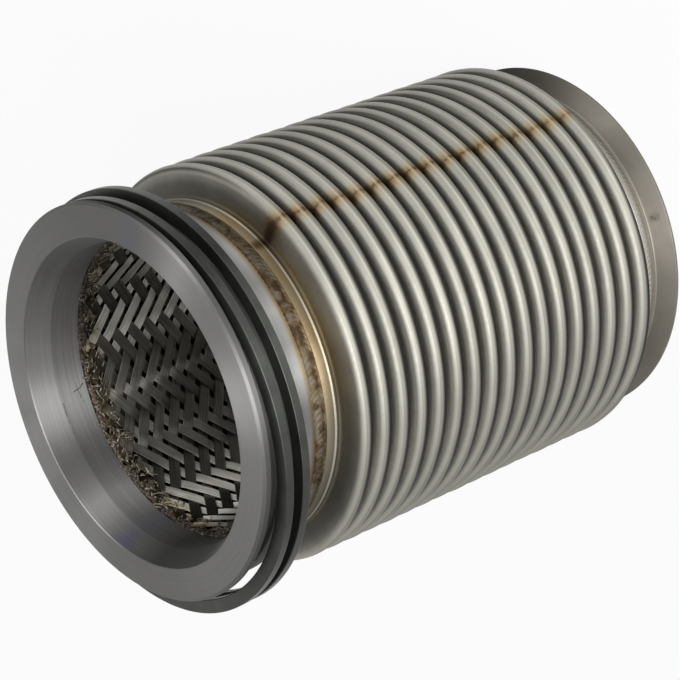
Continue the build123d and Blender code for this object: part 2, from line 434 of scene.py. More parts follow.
def makeAdapter(size):
    top = adapterHigh
    boreEnd = top - size["mouthDepth"]
    recessEnd = boreEnd - size["boreLength"]
    landEnd = top - size["landLength"]
    frontSeatEnd = landEnd - size["frontSeatLength"]
    rearSeatEnd = frontSeatEnd - size["rearSeatLength"]
    corners = [
        (recessRadius, adapterLow), (spigotRadius, adapterLow), (spigotRadius, frontBeadHigh),
        (size["neckRadius"], frontBeadHigh), (size["neckRadius"], rearSeatEnd - size["shoulderLength"]),
        (size["rearSeatRadius"], rearSeatEnd), (size["rearSeatRadius"], frontSeatEnd),
        (size["frontSeatRadius"], frontSeatEnd), (size["frontSeatRadius"], landEnd),
        (size["landRadius"], landEnd), (size["landRadius"], top - size["landChamfer"]),
        (size["landRadius"] - size["landChamfer"], top), (size["mouthRadius"], top),
        (boreRadius, boreEnd), (boreRadius, recessEnd), (recessRadius, recessEnd),
    ]
    piece = putGrid("adapterRing", turnProfile(softCorners(corners, size["bevel"]), size["segments"]))
    return place(piece, "adapter_ring", makeAdapterSteel(size))


makeAdapter(adapter)
print("adapter made")


# Seal rings

sealRings = {
    "front": {"node": "seal_ring_front", "piece": "sealRingFront", "inner": 58.56, "lean": (-0.56, 0.38)},
    "rear": {"node": "seal_ring_rear", "piece": "sealRingRear", "inner": 59.14, "lean": (-0.2, 0.2)},
    "width": 4.21, "thickness": 2.7, "bevel": 0.26, "segments": 224,
    "iron": (0.064, 0.067, 0.060, 1), "roughness": (0.38, 0.2), "bump": (0.3, 0.04),
    "tones": [(-155, 0.48), (-130, 0.8), (-110, 1.2), (-90, 1.8), (-75, 1.1), (-60, 0.5), (-35, 1.0),
              (0, 1.0)],
}


def makeSealIron(size):
    material, tree, shader = newMaterial("sealIron", Metallic=0.85)
    lines = useGroup(tree, turningLines, Fineness=9.0, Spread=1.6)["Lines"]
    cloud = useGroup(tree, cloudiness, Size=7.0)["Cloud"]
    # Painted light and shade round the axis, brightest near -90 degrees
    tones = tonesRound(tree, useGroup(tree, polarPlace)["Angle"], size["tones"])
    tone = times(tree, mixedTone(tree, 0.5, (cloud, 0.9)), tones)
    finishSurface(tree, shader, shaded(tree, size["iron"], tone), size, lines)
    return material


def makeSealRing(size, one, material):
    # A flat ring, leant about Y and then X by its "lean" in degrees, in the middle of its CAD node's box
    half = size["thickness"] / 2
    inner, outer = one["inner"], one["inner"] + size["width"]
    profile = softCorners([(inner, -half), (outer, -half), (outer, half), (inner, half)], size["bevel"])
    low, high = (np.array(corner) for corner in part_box(one["node"]))
    lean = Matrix.Rotation(math.radians(-one["lean"][1]), 3, "X")
    lean = lean @ Matrix.Rotation(math.radians(one["lean"][0]), 3, "Y")
    points = turnProfile(profile, size["segments"]) @ np.array(lean).T + (low + high) / 2
    return place(putGrid(one["piece"], points), one["node"], material)


sealIron = makeSealIron(sealRings)
for side in ("front", "rear"):
    makeSealRing(sealRings, sealRings[side], sealIron)
print("seal rings made")


# Bellows

bellows = {
    "crestCount": 17, "pitch": 7.17, "crestRadius": 61.3, "crestBend": 1.85, "cuffRadius": 51.6, "wall": 0.8,
    "rearCuff": 6.6, "endRound": 0.1, "lipHeight": 0.4, "lipWidth": 1.1, "lipRise": 0.72, "lipSteps": 9,
    "segments": 196, "outsideSteps": (11, 4), "insideSteps": (5, 3),
    "unevenRadius": 0.09, "unevenHeight": 0.1, "unevenRise": 9.0,
    "steel": (0.275, 0.267, 0.235, 1), "roughness": (0.54, 0.18), "bump": (0.2, 0.03),
    # Painted shade: at the roots, on the open first wall, on the bellows' inside and on the back of each
    # crest
    "rootShade": 0.3, "firstWallShade": 0.42, "behindShade": 0.12, "backShade": 0.06, "backShift": 4.0,
    "seam": {"angle": -58.0, "wander": 5.0, "jitter": 3.0, "halo": 4.6, "core": 1.5, "coreHeat": 0.8,
             "valleyHeat": 0.88, "crestHeat": 0.57, "grain": (0.3, 0.7, 0.88, 1.1),
             "fromRear": (18.0, 55.0, 0.84, 1.0)},
    "heatFrom": (-128.0, -98.0, 0.4, 1.0), "heatTo": (-48.0, -25.0, 1.0, 0.3),
    # Tones of painted light and shade round the axis
    "tones": [(-160, 0.9), (-140, 1.0), (-120, 1.06), (-100, 1.08), (-80, 1.12), (-60, 1.1), (-40, 1.2),
              (-20, 1.05), (10, 0.9), (90, 0.9)],
    "frontTones": [(-150, 1.0), (-122, 0.88), (-100, 0.72), (-80, 0.75), (-60, 0.6), (-40, 0.34),
                   (-20, 0.14), (15, 0.2), (90, 0.8)],
    "ridgeTones": [(-150, 1.0), (-120, 1.12), (-100, 1.42), (-80, 1.95), (-60, 1.6), (-40, 1.25), (-20, 1.0)],
    "backEdge": [(-170, 3.6), (-140, 4.55), (-120, 4.28), (-100, 3.9), (-80, 3.5), (-62, 2.6), (-45, 1.2),
                 (-30, 0.5)],
    "wallTones": [(-160, 1.2), (-150, 1.7), (-138, 2.6), (-118, 2.3), (-100, 2.4), (-80, 1.8), (-60, 1.5),
                  (-40, 1.25), (-20, 0.85)],
    "browTones": [(-160, 1.0), (-140, 1.15), (-120, 1.4), (-100, 1.55), (-80, 1.3), (-60, 1.0)],
    "deepTones": [(-160, 0.9), (-140, 1.1), (-120, 0.55), (-100, 0.5), (-80, 0.8), (-60, 0.9), (-40, 1.0)],
    "firstWallTones": [(-160, 1.0), (-150, 1.1), (-120, 1.4), (-100, 1.5), (-80, 2.2), (-66, 1.9),
                       (-58, 1.2), (-45, 1.1), (-20, 1.0)],
    "rootTones": [(-150, 0.35), (-130, 0.38), (-120, 0.36), (-110, 0.25), (-100, 0.33), (-90, 0.42),
                  (-80, 0.48), (-70, 0.36), (-60, 0.15), (-45, 0.32), (-20, 0.25)],
    "cuffTones": [(-150, 0.45), (-130, 0.66), (-118, 0.66), (-110, 0.86), (-100, 1.15), (-91, 0.8),
                  (-75, 0.68), (-60, 0.65), (-45, 0.8), (-20, 0.5)],
    "lipTones": [(-160, 0.8), (-130, 1.25), (-118, 1.2), (-105, 1.45), (-92, 1.2), (-78, 0.85), (-60, 0.5),
                 (-45, 0.9), (-20, 0.6)],
}

lastCrest = bellowsLow + bellows["rearCuff"] + bellows["pitch"] / 2
firstCrest = lastCrest + (bellows["crestCount"] - 1) * bellows["pitch"]
frontCuffStart = firstCrest + bellows["pitch"] / 2
lipPlace = frontCuffStart + bellows["lipRise"]


def bellowsSide(size, crestArc, rootArc, crestSteps, rootSteps):
    # One period is a root arc and a crest arc about the bend centres, tiled at z = lastCrest + k * pitch:
    # root (rc - R cos b, -p/2 + R sin b), b from 0 to 90; crest (cc + R cos b, R sin b), b from -90 to 90;
    # root again on the far side. Returns (r, z) from the rear cuff's end to the front cuff's start.
    half = size["pitch"] / 2
    crestCentre = size["crestRadius"] - size["wall"] - size["crestBend"]
    rootCentre = size["cuffRadius"] + half - size["crestBend"] - size["wall"]
    rise = np.linspace(0, np.pi / 2, rootSteps)
    bow = np.linspace(-np.pi / 2, np.pi / 2, crestSteps)
    near = np.stack([rootCentre - rootArc * np.cos(rise), rootArc * np.sin(rise) - half], axis=-1)
    crest = np.stack([crestCentre + crestArc * np.cos(bow), crestArc * np.sin(bow)], axis=-1)
    far = near[::-1] * (1, -1)
    shift = np.zeros((size["crestCount"], 1, 2))
    shift[:, 0, 1] = lastCrest + np.arange(size["crestCount"]) * size["pitch"]
    run = (np.concatenate([near, crest, far[:-1]])[None] + shift).reshape(-1, 2)
    cuff = rootCentre - rootArc
    return np.concatenate([[[cuff, bellowsLow + size["endRound"]]], run, [[cuff, frontCuffStart]]])


def makeBellowsProfile(size):
    # The outer side, the front cuff's lip (a cosine wave), the front end, the inner side and the rear end
    wall, cuff, bend = size["wall"], size["cuffRadius"], size["crestBend"]
    rootBend = size["pitch"] / 2 - bend - wall
    outside = bellowsSide(size, bend + wall, rootBend, *size["outsideSteps"])
    inside = bellowsSide(size, bend, rootBend + wall, *size["insideSteps"])
    t = np.linspace(-1, 1, size["lipSteps"])
    lip = np.stack([cuff + size["lipHeight"] * (1 + np.cos(np.pi * t)) / 2,
                    lipPlace + size["lipWidth"] / 2 * t], axis=-1)
    end = bellowsHigh - size["endRound"]
    frontEnd = [[cuff, end], [cuff - wall / 2, bellowsHigh], [cuff - wall, end]]
    return np.concatenate([outside, lip, frontEnd, inside[::-1], [[cuff - wall / 2, bellowsLow]]])


def crestShade(tree, radius, beyond, ridge, tones, size):
    # Painted highlight on the shoulders of the crests, painted shade towards the roots, with a thin painted
    # dark line that splits each crest's highlight; beyond is the height in front of the nearest crest
    top = size["crestRadius"]
    shoulder = bandMask(tree, radius, top - 1.4, top - 0.35, 0.25)
    dip = bandMask(tree, beyond, 1.05, 1.2, 0.2)
    shade = times(tree, fade(tree, radius, top - 7.3, top - 1.3, size["rootShade"], 1.0),
                  scaleAdd(tree, shoulder, 0.28, 0.97), scaleAdd(tree, dip, -0.42, 1.0))
    brow = times(tree, bandMask(tree, radius, top - 2.4, top - 1.4, 0.4), fade(tree, beyond, 2.1, 2.5))
    # Painted light and shade round the axis in each zone: the front of each crest, its ridge, the wall, the
    # brow and the deep part
    zones = {
        "frontTones": fade(tree, beyond, 1.0, 2.0),
        "ridgeTones": ridge,
        "wallTones": fade(tree, radius, top - 2.9, top - 1.2, 1.0, 0.0),
        "browTones": brow,
        "deepTones": fade(tree, radius, top - 5.3, top - 2.8, 1.0, 0.0),
    }
    for key, mask in zones.items():
        shade = times(tree, shade, chooseTone(tree, mask, 1.0, tones(key)))

    # Painted shade on the back of each crest, behind an edge whose height changes round the axis
    edge = calc(tree, "SUBTRACT", tones("backEdge"), size["backShift"])
    dark = fade(tree, calc(tree, "SUBTRACT", beyond, edge), -0.75, 0.6, size["backShade"], 1.0)
    crown = fade(tree, radius, top - 3.1, top - 2.1)
    return times(tree, shade, chooseTone(tree, crown, 1.0, dark))


def seamHeat(tree, where, clouds, size):
    # The seam's tint: a thin dark line in a soft halo, deeper in the valleys than over the crests
    (angle, radius, height), (cloud, speckle) = where, clouds
    seam, top = size["seam"], size["crestRadius"]
    wander = scaleAdd(tree, cloud, seam["wander"], -seam["wander"] / 2 - seam["angle"])
    off = calc(tree, "ABSOLUTE", calc(tree, "ADD", angle, wander))
    off = calc(tree, "ADD", off, scaleAdd(tree, speckle, seam["jitter"], -seam["jitter"] / 2))
    halo = times(tree, fade(tree, off, 0.0, seam["halo"], 1.0, 0.0),
                 fade(tree, radius, top - 3.5, top - 0.2, seam["valleyHeat"], seam["crestHeat"]),
                 fade(tree, speckle, *seam["grain"]))
    core = times(tree, fade(tree, off, 0.1, seam["core"], 1.0, 0.0), seam["coreHeat"])
    return times(tree, calc(tree, "MAXIMUM", halo, core), fade(tree, height, *seam["fromRear"]))


def makeBellowsSteel(size):
    material, tree, shader = newMaterial("bellowsSteel", Metallic=1.0)
    where, clouds = useGroup(tree, polarPlace), useGroup(tree, cloudiness, Size=16.0)
    (angle, radius, height), (cloud, speckle) = where, clouds
    lines, streaks = useGroup(tree, turningLines, Fineness=3.0, Spread=2.5)
    tones = tonesOf(tree, angle, size)
    pitch, cuffRadius, top = size["pitch"], size["cuffRadius"], size["crestRadius"]

    # Periods are counted from the front cuff, and 20 more keep the count positive
    periods = scaleAdd(tree, height, 1 / pitch, 20 - frontCuffStart / pitch)
    beyond = scaleAdd(tree, calc(tree, "FRACT", periods), pitch, -pitch / 2)
    ridge = bandMask(tree, beyond, 0.2, 1.15, 0.35)
    shade = crestShade(tree, radius, beyond, ridge, tones, size)

    # The first wall and the cuff in front of it stay open to view, with painted light and shade of their own:
    # a painted highlight on the lip, painted shade at the root, and a warm tint
    wall = fade(tree, height, firstCrest + 1.9, firstCrest + 2.6)
    cuff = fade(tree, radius, cuffRadius + 0.15, cuffRadius + 1.0, 1.0, 0.0)
    ahead = fade(tree, height, lipPlace - 0.8, lipPlace - 0.5)
    lip = bandMask(tree, height, lipPlace - 0.6, lipPlace + 0.55, 0.2)
    deepest = times(tree, tones("firstWallTones"), size["firstWallShade"])
    wallTone = times(tree, fade(tree, radius, top - 6.3, top - 0.8, deepest, 1.0),
                     scaleAdd(tree, cloud, 0.5, 0.75))
    cuffTone = chooseTone(tree, ahead, tones("rootTones"), tones("cuffTones"))
    cuffTone = chooseTone(tree, lip, cuffTone, tones("lipTones"))
    shade = chooseTone(tree, wall, shade, chooseTone(tree, cuff, wallTone, cuffTone))
    # Painted light and shade round the axis, and painted shade on the bellows' inside
    tone = times(tree, mixedTone(tree, 0.72, (cloud, 0.35), (streaks, 0.2)), tones("tones"),
                 fade(tree, radius, cuffRadius - 0.2, cuffRadius - 0.1, size["behindShade"], 1.0), shade)

    cuffHeat = times(tree, mixedTone(tree, 0.16, (cloud, 0.6)), scaleAdd(tree, lip, -0.6, 1.0),
                     fade(tree, angle, *size["heatFrom"]), fade(tree, angle, *size["heatTo"]))
    wallHeat = times(tree, fade(tree, radius, cuffRadius + 0.8, cuffRadius + 4.6, 0.8, 0.04), cuffHeat)
    openHeat = times(tree, wall, chooseTone(tree, cuff, wallHeat, cuffHeat))
    seam = times(tree, seamHeat(tree, where, clouds, size), scaleAdd(tree, ridge, -0.4, 1.0))
    colour = useGroup(tree, heatTint, Bare=shaded(tree, size["steel"], tone),
                      Heat=calc(tree, "MAXIMUM", seam, openHeat))["Colour"]
    finishSurface(tree, shader, colour, size, speckle, lines)
    return material


def makeBellows(size):
    # The crests are a little out of round, (cos(2a + p) + 0.6 cos(3a + q) - 1.2) times half the unevenness,
    # and lean a little, by cos(a + s) times theirs, with phases of each crest's own
    profile = makeBellowsProfile(size)
    crestWeight = np.clip((profile[:, 0] - size["cuffRadius"]) / size["unevenRise"], 0, 1)[None, :]
    period = np.clip((profile[:, 1] - bellowsLow) / size["pitch"], 0, size["crestCount"] + 1).astype(int)
    phase = randomDraw.uniform(0, 2 * np.pi, (3, size["crestCount"] + 2))[:, period]

    def wobble(angle):
        uneven = np.cos(2 * angle + phase[0][None]) + 0.6 * np.cos(3 * angle + phase[1][None]) - 1.2
        return crestWeight * size["unevenRadius"] * 0.5 * uneven

    points = turnProfile(profile, size["segments"], wobble)
    lean = np.cos(fullTurn(size["segments"]) + phase[2][None])
    points[:, :, 2] += crestWeight * size["unevenHeight"] * lean * mm
    return place(putGrid("bellowsWall", points), "bellows", makeBellowsSteel(size))


makeBellows(bellows)
print("bellows made")


# Weld beads: a crowned band with overlapping scales

weldBeads = {
    "front": {"node": "weld_bead_front", "piece": "weldBeadFront",
              "edges": (51.6, 51.85), "spill": (0.6, 0.8)},
    "rear": {"node": "weld_bead_rear", "piece": "weldBeadRear",
             "edges": (51.4, 51.6), "spill": (0.0, 0.0)},
    "crown": 0.4, "scales": 190, "scaleDepth": 0.22, "bow": 1.2, "drift": ((0.25, 5, 1.0), (0.2, 17, 0.0)),
    "segments": 1050, "across": 15, "tint": (0.36, 0.64, 0.12, 0.82), "stained": (0.5, 0.62, 0.0, 0.55),
    "steel": (0.20, 0.185, 0.155, 1), "rearSteel": (0.48, 0.465, 0.43, 1), "stain": (0.52, 0.42, 0.50, 1),
    "roughness": (0.445, 0.25), "bump": (0.5, 0.12), "rearHeat": 0.15,
    "tones": [(-150, 0.7), (-130, 0.9), (-110, 1.5), (-92, 1.3), (-78, 0.95), (-60, 0.68), (-40, 0.45),
              (-20, 0.45)],
    "rearTones": [(-175, 0.6), (-160, 1.0), (-92, 1.05), (-62, 0.7), (-40, 1.0), (-10, 1.0), (10, 0.6)],
}


def makeWeldBead(size, one, material):
    # Across the bead v runs 0 to 1: r = edge + (crown - depth) sin(pi v) + depth * scale. The scale is a
    # rounded sawtooth of n a / 360 + bow (2v - 1)^2 + drift, which makes crescents, low at the bead's edges.
    low, high = heights(one["node"])
    low, high = low - one["spill"][0], high + one["spill"][1]
    v = np.linspace(0, 1, size["across"])[None, :]
    angle = fullTurn(size["segments"])
    drift = sum(far * np.sin(order * angle + start) for far, order, start in size["drift"])
    turns = size["scales"] * angle / (2 * np.pi) + size["bow"] * (2 * v - 1) ** 2 + drift
    saw = turns - np.floor(turns)
    scale = np.sin(np.pi * saw ** 0.7) * np.sin(np.pi * v) ** 0.5
    edge = one["edges"][0] + (one["edges"][1] - one["edges"][0]) * v
    radius = edge + (size["crown"] - size["scaleDepth"]) * np.sin(np.pi * v) + size["scaleDepth"] * scale
    height = low + (high - low) * v + 0 * angle
    inner = np.full((size["segments"], 1), spigotRadius)
    radius = np.concatenate([inner, radius, inner], axis=1)
    height = np.concatenate([height[:, :1], height, height[:, -1:]], axis=1)
    points = aroundAxis(radius, angle, height) * mm
    return place(putGrid(one["piece"], points), one["node"], material)


def makeWeldSteel(size):
    material, tree, shader = newMaterial("weldSteel", Metallic=1.0)
    angle, _, height = useGroup(tree, polarPlace)
    cloud, speckle = useGroup(tree, cloudiness, Size=3.2)
    tones = tonesOf(tree, angle, size)
    front = fade(tree, height, rearBeadHigh + 1.0, rearBeadHigh + 2.0)
    # Painted light and shade round the axis, with a painted highlight along the front bead's rear edge and
    # painted shade along its front edge; the rear bead has painted tones of its own
    frontTone = times(tree, tones("tones"),
                      fade(tree, height, frontBeadLow - 0.6, frontBeadLow + 1.0, 2.7, 1.05),
                      fade(tree, height, frontBeadHigh - 0.2, frontBeadHigh + 0.5, 1.05, 0.6))
    tone = chooseTone(tree, front, tones("rearTones"), frontTone)
    bare = shaded(tree, blendColour(tree, front, size["rearSteel"], size["steel"]), tone)
    heat = times(tree, fade(tree, cloud, *size["tint"]), chooseTone(tree, front, size["rearHeat"], 1.0))
    tinted = useGroup(tree, heatTint, Bare=bare, Heat=heat)["Colour"]
    stain = times(tree, front, fade(tree, speckle, *size["stained"]))
    tinted = blendColour(tree, stain, tinted, dyed(tree, bare, size["stain"]))
    finishSurface(tree, shader, tinted, size, speckle)
    return material


weldSteel = makeWeldSteel(weldBeads)
for side in ("front", "rear"):
    makeWeldBead(weldBeads, weldBeads[side], weldSteel)
print("weld beads made")


# Rear flange

flange = {
    "radius": 57.0, "rim": 0.7, "coneHeight": 3.5, "hubRadius": 51.4, "boreChamfer": 0.8,
    "segments": 256, "bevel": 0.16,
    "steel": (0.228, 0.21, 0.181, 1), "roughness": (0.52, 0.2), "bump": (0.3, 0.03), "stretch": 0.4,
    "hubTone": 1.45, "smudgeAngle": -97.0, "smudgeHeight": 2.4, "smudge": (0.35, 0.6, 0.35, 0.8),
    "tones": [(-165, 0.7), (-145, 0.8), (-120, 0.97), (-90, 0.95), (-62, 0.98), (-44, 0.62), (-30, 0.3),
              (-15, 0.16), (20, 0.3)],
}


def makeFlangeSteel(size):
    material, tree, shader = newTurnedMetal("flangeSteel", size["stretch"])
    angle, radius, height = useGroup(tree, polarPlace)
    lines = useGroup(tree, turningLines, Fineness=5.0, Spread=1.4)["Lines"]
    cloud, speckle = useGroup(tree, cloudiness, Size=14.0)
    hub, at, up = size["hubRadius"], size["smudgeAngle"], size["smudgeHeight"]
    smudge = times(tree, bandMask(tree, angle, at - 0.8, at + 0.8, 1.3),
                   bandMask(tree, height, up - 0.3, up + 1.2, 0.8),
                   fade(tree, speckle, *size["smudge"]))
    # Painted light and shade round the axis, darkest near -15 degrees
    tone = times(tree, mixedTone(tree, 0.7, (cloud, 0.5)), tonesRound(tree, angle, size["tones"]),
                 calc(tree, "SUBTRACT", 1.0, smudge),
                 fade(tree, radius, hub + 0.1, hub + 0.5, size["hubTone"], 1.0))
    finishSurface(tree, shader, shaded(tree, size["steel"], tone), size, lines)
    return material


def makeFlange(size):
    hubTop, coneTop = rearBeadLow, size["rim"] + size["coneHeight"]
    corners = [
        (boreRadius + size["boreChamfer"], flangeLow), (size["radius"], flangeLow),
        (size["radius"], size["rim"]), (size["hubRadius"], coneTop), (size["hubRadius"], hubTop),
        (spigotRadius, hubTop), (spigotRadius, flangeHigh), (boreRadius, flangeHigh),
        (boreRadius, size["boreChamfer"]),
    ]
    piece = putGrid("rearFlange", turnProfile(softCorners(corners, size["bevel"]), size["segments"]))
    return place(piece, "rear_flange", makeFlangeSteel(size))


makeFlange(flange)
print("rear flange made")


# Braided liner: two families of flat wires, each over two and under two of the other

braid = {
    "periods": 16, "rowPitch": 5.9, "middleRadius": 45.4, "lift": 0.3, "sharpness": 2.2,
    "wireWidth": 3.3, "wireThickness": 0.3, "edge": 0.1, "support": 0.4, "pathSteps": 230,
    "knots": 24, "tilt": 4.0, "sway": 0.16, "press": 0.05, "widening": 0.03,
    "bottom": 12.8, "top": 153.2, "ragged": 3.0, "burntFrom": (146.0, 151.5), "scorch": (0.4, 0.6, 0.45, 0.9),
    "heat": (0.35, 0.65, 0.5, 0.2), "grooveScale": (2.6, 0.12), "grooves": (0.3, 0.7, 0.72, 1.32),
    "wire": (0.33, 0.32, 0.285, 1), "roughness": (0.54, 0.2), "bump": (0.15, 0.04),
    "rising": {"piece": "braidRising", "centre": 10.1, "height": 141.35, "slope": 1,
               "tones": [(-90, 0.9), (0, 0.9), (20, 0.58), (36, 0.46), (58, 0.38), (66, 0.75), (100, 0.9),
                         (142, 0.9), (156, 0.5)]},
    "falling": {"piece": "braidFalling", "centre": -1.0, "height": 144.29, "slope": -1,
                "tones": [(-100, 0.8), (0, 1.0), (78, 0.95), (88, 0.8), (98, 0.4), (106, 0.2), (115, 0.22),
                          (121, 0.55), (127, 1.5), (134, 2.4), (144, 2.3), (151, 1.1), (157, 0.45),
                          (168, 0.3)]},
}


def wireAxes(path, angle):
    # Unit vectors across a wire and towards the axis, both square to its run
    ahead = np.gradient(path, axis=1)
    ahead /= np.linalg.norm(ahead, axis=-1, keepdims=True)
    inward = np.stack([-np.cos(angle), -np.sin(angle), 0 * angle], axis=-1)
    across = np.cross(ahead, inward)
    across /= np.linalg.norm(across, axis=-1, keepdims=True)
    return across, np.cross(across, ahead)


def carrySection(path, across, inward, section, width, thickness):
    # A section's point (x, y) goes to path + x width across + y thickness inward
    points = path[:, :, None] + across[:, :, None] * (section[:, 0] * width[..., None])[..., None]
    return (points + inward[:, :, None] * (section[:, 1] * thickness[..., None])[..., None]) * mm


def putStrands(name, points):
    # points[strand, u, v]: tubes along u, closed round v, with quads over each end's eight or four points
    strands, countU, countV = points.shape[:3]
    s, u, v = np.meshgrid(np.arange(strands), np.arange(countU - 1), np.arange(countV), indexing="ij")
    base = (s * countU + u) * countV
    nextV = (v + 1) % countV
    sides = np.stack([base + v, base + nextV, base + countV + nextV, base + countV + v], axis=-1)
    cap = np.array([(0, 1, 2, 7), (7, 2, 3, 6), (6, 3, 4, 5)] if countV == 8 else [(0, 1, 2, 3)])
    first = (np.arange(strands) * countU * countV)[:, None, None]
    starts = (cap[:, ::-1][None] + first).reshape(-1, 4)
    ends = (cap[None] + first + (countU - 1) * countV).reshape(-1, 4)
    return putMesh(name, points.reshape(-1, 3), np.concatenate([sides.reshape(-1, 4), starts, ends]))


def makeBraidFamily(size, one, material):
    # Strand i runs at z = h0 + pitch i + slope * pitch * (a - a0) / (180 / n), and its radius is
    # middle - lift * tanh(k cos(n (a - a0))) / tanh k: pressed inwards where it floats over the others.
    # Press, sway, tilt and width wander between random knots along each strand.
    strands, steps = 2 * size["periods"], size["pathSteps"]
    climb = size["rowPitch"] * size["periods"] / math.pi
    end = size["top"] - randomDraw.uniform(0, size["ragged"], (strands, 1))
    height = size["bottom"] + (end - size["bottom"]) * np.linspace(0, 1, steps)[None, :]
    start = one["height"] + size["rowPitch"] * np.arange(strands)[:, None]
    angle = math.radians(one["centre"]) + one["slope"] * (height - start) / climb
    wave = np.tanh(size["sharpness"] * np.cos(size["periods"] * (angle - math.radians(one["centre"]))))
    radius = size["middleRadius"] - size["lift"] * wave / math.tanh(size["sharpness"])
    knots = randomDraw.uniform(-1, 1, (4, strands, size["knots"]))
    at = np.linspace(0, size["knots"] - 1.001, steps)  # it ends just short of the last knot
    left, share = at.astype(int), at - at.astype(int)
    share = share * share * (3 - 2 * share)
    sway, tilt, press, wide = knots[:, :, left] * (1 - share) + knots[:, :, left + 1] * share
    path = aroundAxis(radius + size["press"] * press, angle, height + size["sway"] * sway)
    across, inward = wireAxes(path, angle)
    turn = np.radians(size["tilt"] * tilt)[..., None]
    across, inward = (across * np.cos(turn) + inward * np.sin(turn),
                      inward * np.cos(turn) - across * np.sin(turn))
    w, h = size["wireWidth"] / 2, size["wireThickness"] / 2
    a, b = w - size["edge"], w - size["support"]
    section = np.array([(-a, -h), (a, -h), (w, 0), (a, h), (b, h), (-b, h), (-a, h), (-w, 0)])
    points = carrySection(path, across, inward, section, 1 + size["widening"] * wide, np.ones(wide.shape))
    return place(putStrands(one["piece"], points), "braided_liner", material)


def makeBraidWire(size, one):
    # The tangent lies across the wire, which climbs by climb for 1 along the turn: climb back, and 1 up
    material, tree, shader = newMaterial(one["piece"] + "Wire", Metallic=1.0, Anisotropic=1.0)
    x, y, _ = splitPlace(tree, objectPlace(tree))
    climb = size["rowPitch"] / (math.pi / size["periods"] * size["middleRadius"]) * one["slope"]
    turn = vectorMath(tree, "NORMALIZE", i0=joinPlace(tree, y, times(tree, x, -1.0)))[0]
    across = vectorMath(tree, "MULTIPLY_ADD", i0=turn, i1=(climb, climb, climb), i2=(0.0, 0.0, 1.0))[0]
    tree.links.new(across, shader["Tangent"])
    angle, _, height = useGroup(tree, polarPlace)
    cloud, speckle = useGroup(tree, cloudiness, Size=6.0)

    # Fine grooves along the wire: noise that changes fast across its run and slowly along it
    acrossRun = scaleAdd(tree, angle, -one["slope"] * size["rowPitch"] * size["periods"] / 180, height)
    fine, coarse = size["grooveScale"]
    run = joinPlace(tree, times(tree, acrossRun, fine), times(tree, height, coarse))
    grooves = fade(tree, noise(tree, run, 1.0, 2.0, 0.5), *size["grooves"])
    burnt = fade(tree, height, *size["burntFrom"])
    scorch = chooseTone(tree, burnt, 1.0, fade(tree, cloud, *size["scorch"]))
    # Painted highlights and shade round the axis: each family is bright where its wires glint and dark
    # elsewhere
    tones = tonesRound(tree, angle, one["tones"])
    tone = times(tree, mixedTone(tree, 0.55, (cloud, 0.5)), grooves, tones, scorch)
    heat = times(tree, burnt, fade(tree, cloud, *size["heat"]))
    colour = useGroup(tree, heatTint, Bare=shaded(tree, size["wire"], tone), Heat=heat)["Colour"]
    finishSurface(tree, shader, colour, size, speckle)
    return material


for family in ("rising", "falling"):
    makeBraidFamily(braid, braid[family], makeBraidWire(braid, braid[family]))
print("braid made")


# Burnt beads at the liner's ends

linerWelds = {
    "front": {"node": "liner_weld_front", "piece": "linerWeldFront", "reach": -2.2},
    "rear": {"node": "liner_weld_rear", "piece": "linerWeldRear", "reach": 1.5},
    "inner": 45.5, "hollow": 0.5, "wall": 0.6, "segments": 1440, "across": 15, "lump": 0.42, "twist": 1.8,
    "ragged": 1.1, "raggedTop": 0.35, "orders": [7, 13, 19, 31, 43, 61, 83, 101, 127, 163, 211, 263],
    "roughness": (0.6, 0.4), "bump": (0.8, 0.3),
    "tones": [(-20, 0.9), (10, 0.6), (30, 0.4), (55, 0.5), (72, 1.0), (110, 1.15), (140, 0.9), (160, 0.6)],
    "flecks": [(0.30, (0.012, 0.010, 0.008)), (0.46, (0.045, 0.036, 0.028)), (0.53, (0.11, 0.068, 0.042)),
               (0.58, (0.10, 0.09, 0.075)), (0.68, (0.34, 0.32, 0.27))],
}


def makeLinerWeld(size, one, material):
    # A closed band, whose inner side is r = inner + hollow (2v - 1)^2 + lump / 2 * the sum over the orders n
    # of cos(n a + twist v sqrt n + phase) / sqrt n. Its edges are ragged by such a sum without v.
    low, high = heights(one["node"])
    atFront = one["reach"] < 0
    angle, v = fullTurn(size["segments"]), np.linspace(0, 1, size["across"])[None, :]
    orders = np.array(size["orders"])
    waves = randomDraw.uniform(0, 2 * np.pi, (2, len(orders)))
    strength = 1 / np.sqrt(orders)
    ragged = (np.cos(angle * orders + waves[0]) * strength).sum(axis=1, keepdims=True)
    lumpy = (np.cos(angle[:, :, None] * orders + waves[1] + size["twist"] * v[:, :, None] * np.sqrt(orders))
             * strength).sum(axis=2)
    bottom = (low if atFront else high) + one["reach"] + size["ragged"] * ragged
    top = (high if atFront else low) + (size["raggedTop"] if atFront else 0.0) * ragged
    height = bottom + (top - bottom) * v
    radius = size["inner"] + size["hollow"] * (2 * v - 1) ** 2 + size["lump"] / 2 * lumpy
    back = np.full((size["segments"], 1), recessRadius - size["wall"])
    radius = np.concatenate([radius, back, back], axis=1)
    height = np.concatenate([height, height[:, -1:], height[:, :1]], axis=1)
    if atFront:
        radius, height = radius[:, ::-1], height[:, ::-1]
    points = aroundAxis(radius, angle, height) * mm
    return place(putGrid(one["piece"], points), one["node"], material)


def makeScorched(name, size):
    material, tree, shader = newMaterial(name, Metallic=0.7)
    spots = noise(tree, objectPlace(tree), 950.0, 3.0, 0.65)  # about a millimetre wide
    # Painted light and shade round the axis, darkest near 30 degrees
    tone = tonesRound(tree, useGroup(tree, polarPlace)["Angle"], size["tones"])
    finishSurface(tree, shader, shaded(tree, ramp(tree, spots, size["flecks"]), tone), size, spots)
    return material


scorchedWeld = makeScorched("scorchedWeld", linerWelds)
for side in ("front", "rear"):
    makeLinerWeld(linerWelds, linerWelds[side], scorchedWeld)
print("liner welds made")


# Frayed ends: short broken wires that stand out round the liner's burnt rim

